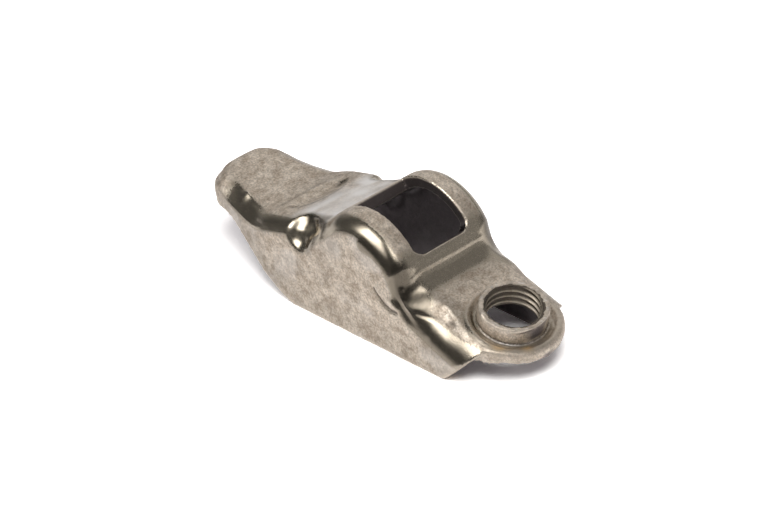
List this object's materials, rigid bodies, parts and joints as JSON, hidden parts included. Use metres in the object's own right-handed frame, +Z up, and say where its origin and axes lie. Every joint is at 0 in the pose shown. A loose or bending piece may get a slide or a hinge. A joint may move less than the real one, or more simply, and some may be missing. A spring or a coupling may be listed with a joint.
{
  "type": "rocker arm",
  "caption": "Pressed-steel rocker arm: a drawn channel with a valve pad, a humped pivot with a rectangular window, and a threaded collar at the far end.",
  "frame": {"origin": "middle of the arm's bounding box, on the plane of the straight wall edges it lies on", "axes": "+X along the arm towards the threaded collar, +Y across the arm, +Z up, away from the open side of the channel"},
  "size_m": [0.0658, 0.0186, 0.0195],
  "materials": {
    "steel": "tumbled, with burnished bends"
  },
  "bodies": {
    "root": {"rocker_arm": "steel"}
  },
  "joints": []
}
